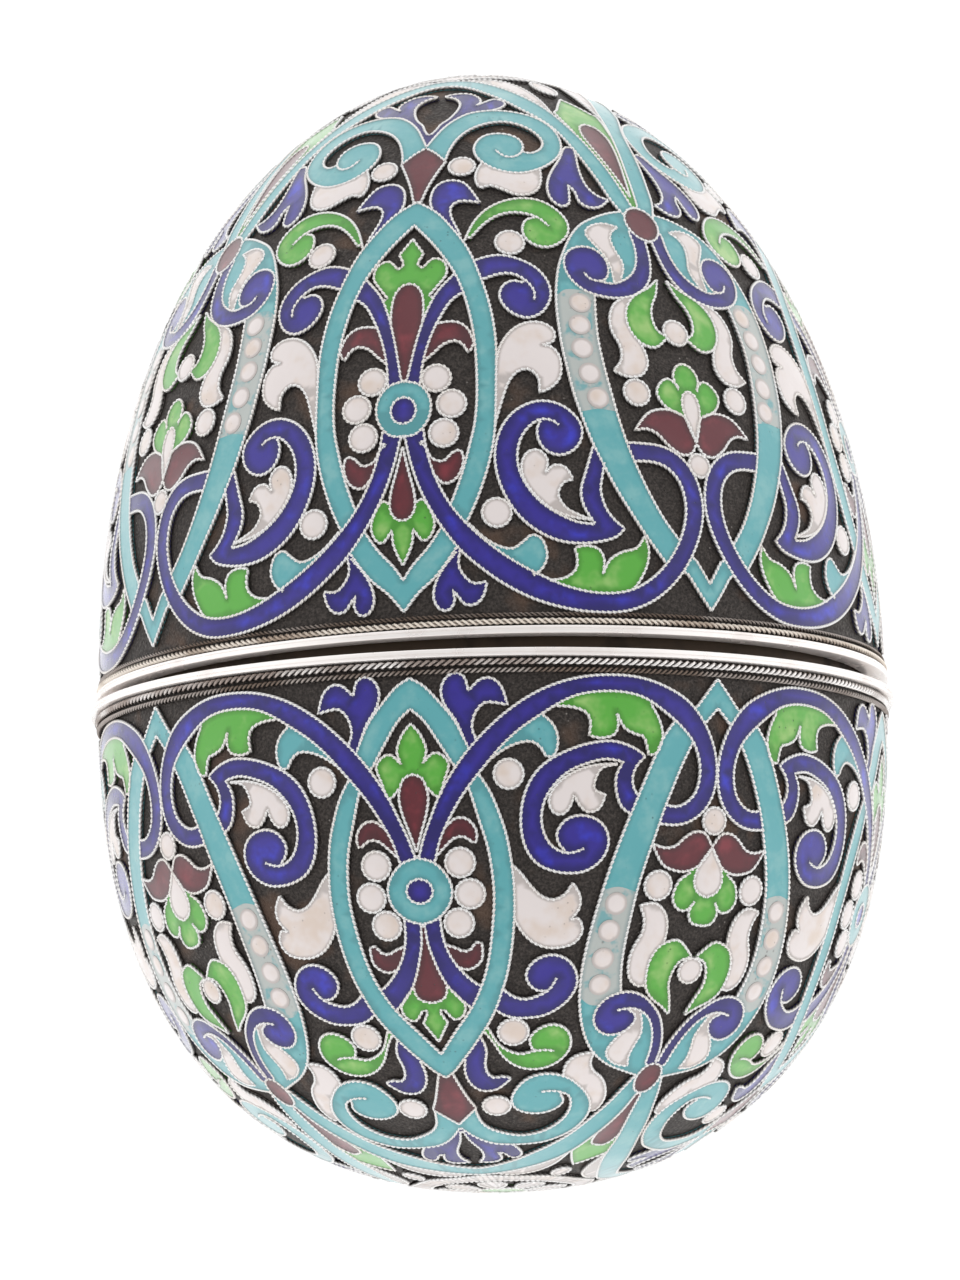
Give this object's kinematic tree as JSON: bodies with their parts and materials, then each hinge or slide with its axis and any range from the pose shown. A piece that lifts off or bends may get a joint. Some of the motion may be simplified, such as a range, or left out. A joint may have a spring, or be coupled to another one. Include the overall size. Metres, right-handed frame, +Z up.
{
  "type": "jewelled egg",
  "caption": "Hollow egg-shaped silver box with raised filigree enamel cells, whose pointed lid lifts off an inner collar; it lies on its side on a small flat spot",
  "frame": {"origin": "on the floor under the middle of the bounding box of the egg lying on its side", "axes": "+Y along the egg's axis towards the pointed end of the lid, +Z up out of the floor, +X to the right when the lid points away"},
  "size_m": [0.068, 0.0956, 0.0665],
  "materials": {
    "enamelled_silver": "oxidised silver ground with glossy domed enamel in twisted wire cells",
    "bright_silver": "polished silver",
    "rope_silver": "twisted silver wire, dark in its grooves",
    "gilt_silver": "silver, gilt, satin"
  },
  "bodies": {
    "root": {"base_shell": "enamelled_silver", "base_rim": "bright_silver", "base_rope_upper": "rope_silver", "base_rope_lower": "rope_silver", "base_collar": "gilt_silver", "lid_shell": "enamelled_silver", "lid_rim": "bright_silver", "lid_rope_lower": "rope_silver", "lid_rope_upper": "rope_silver"}
  },
  "joints": []
}
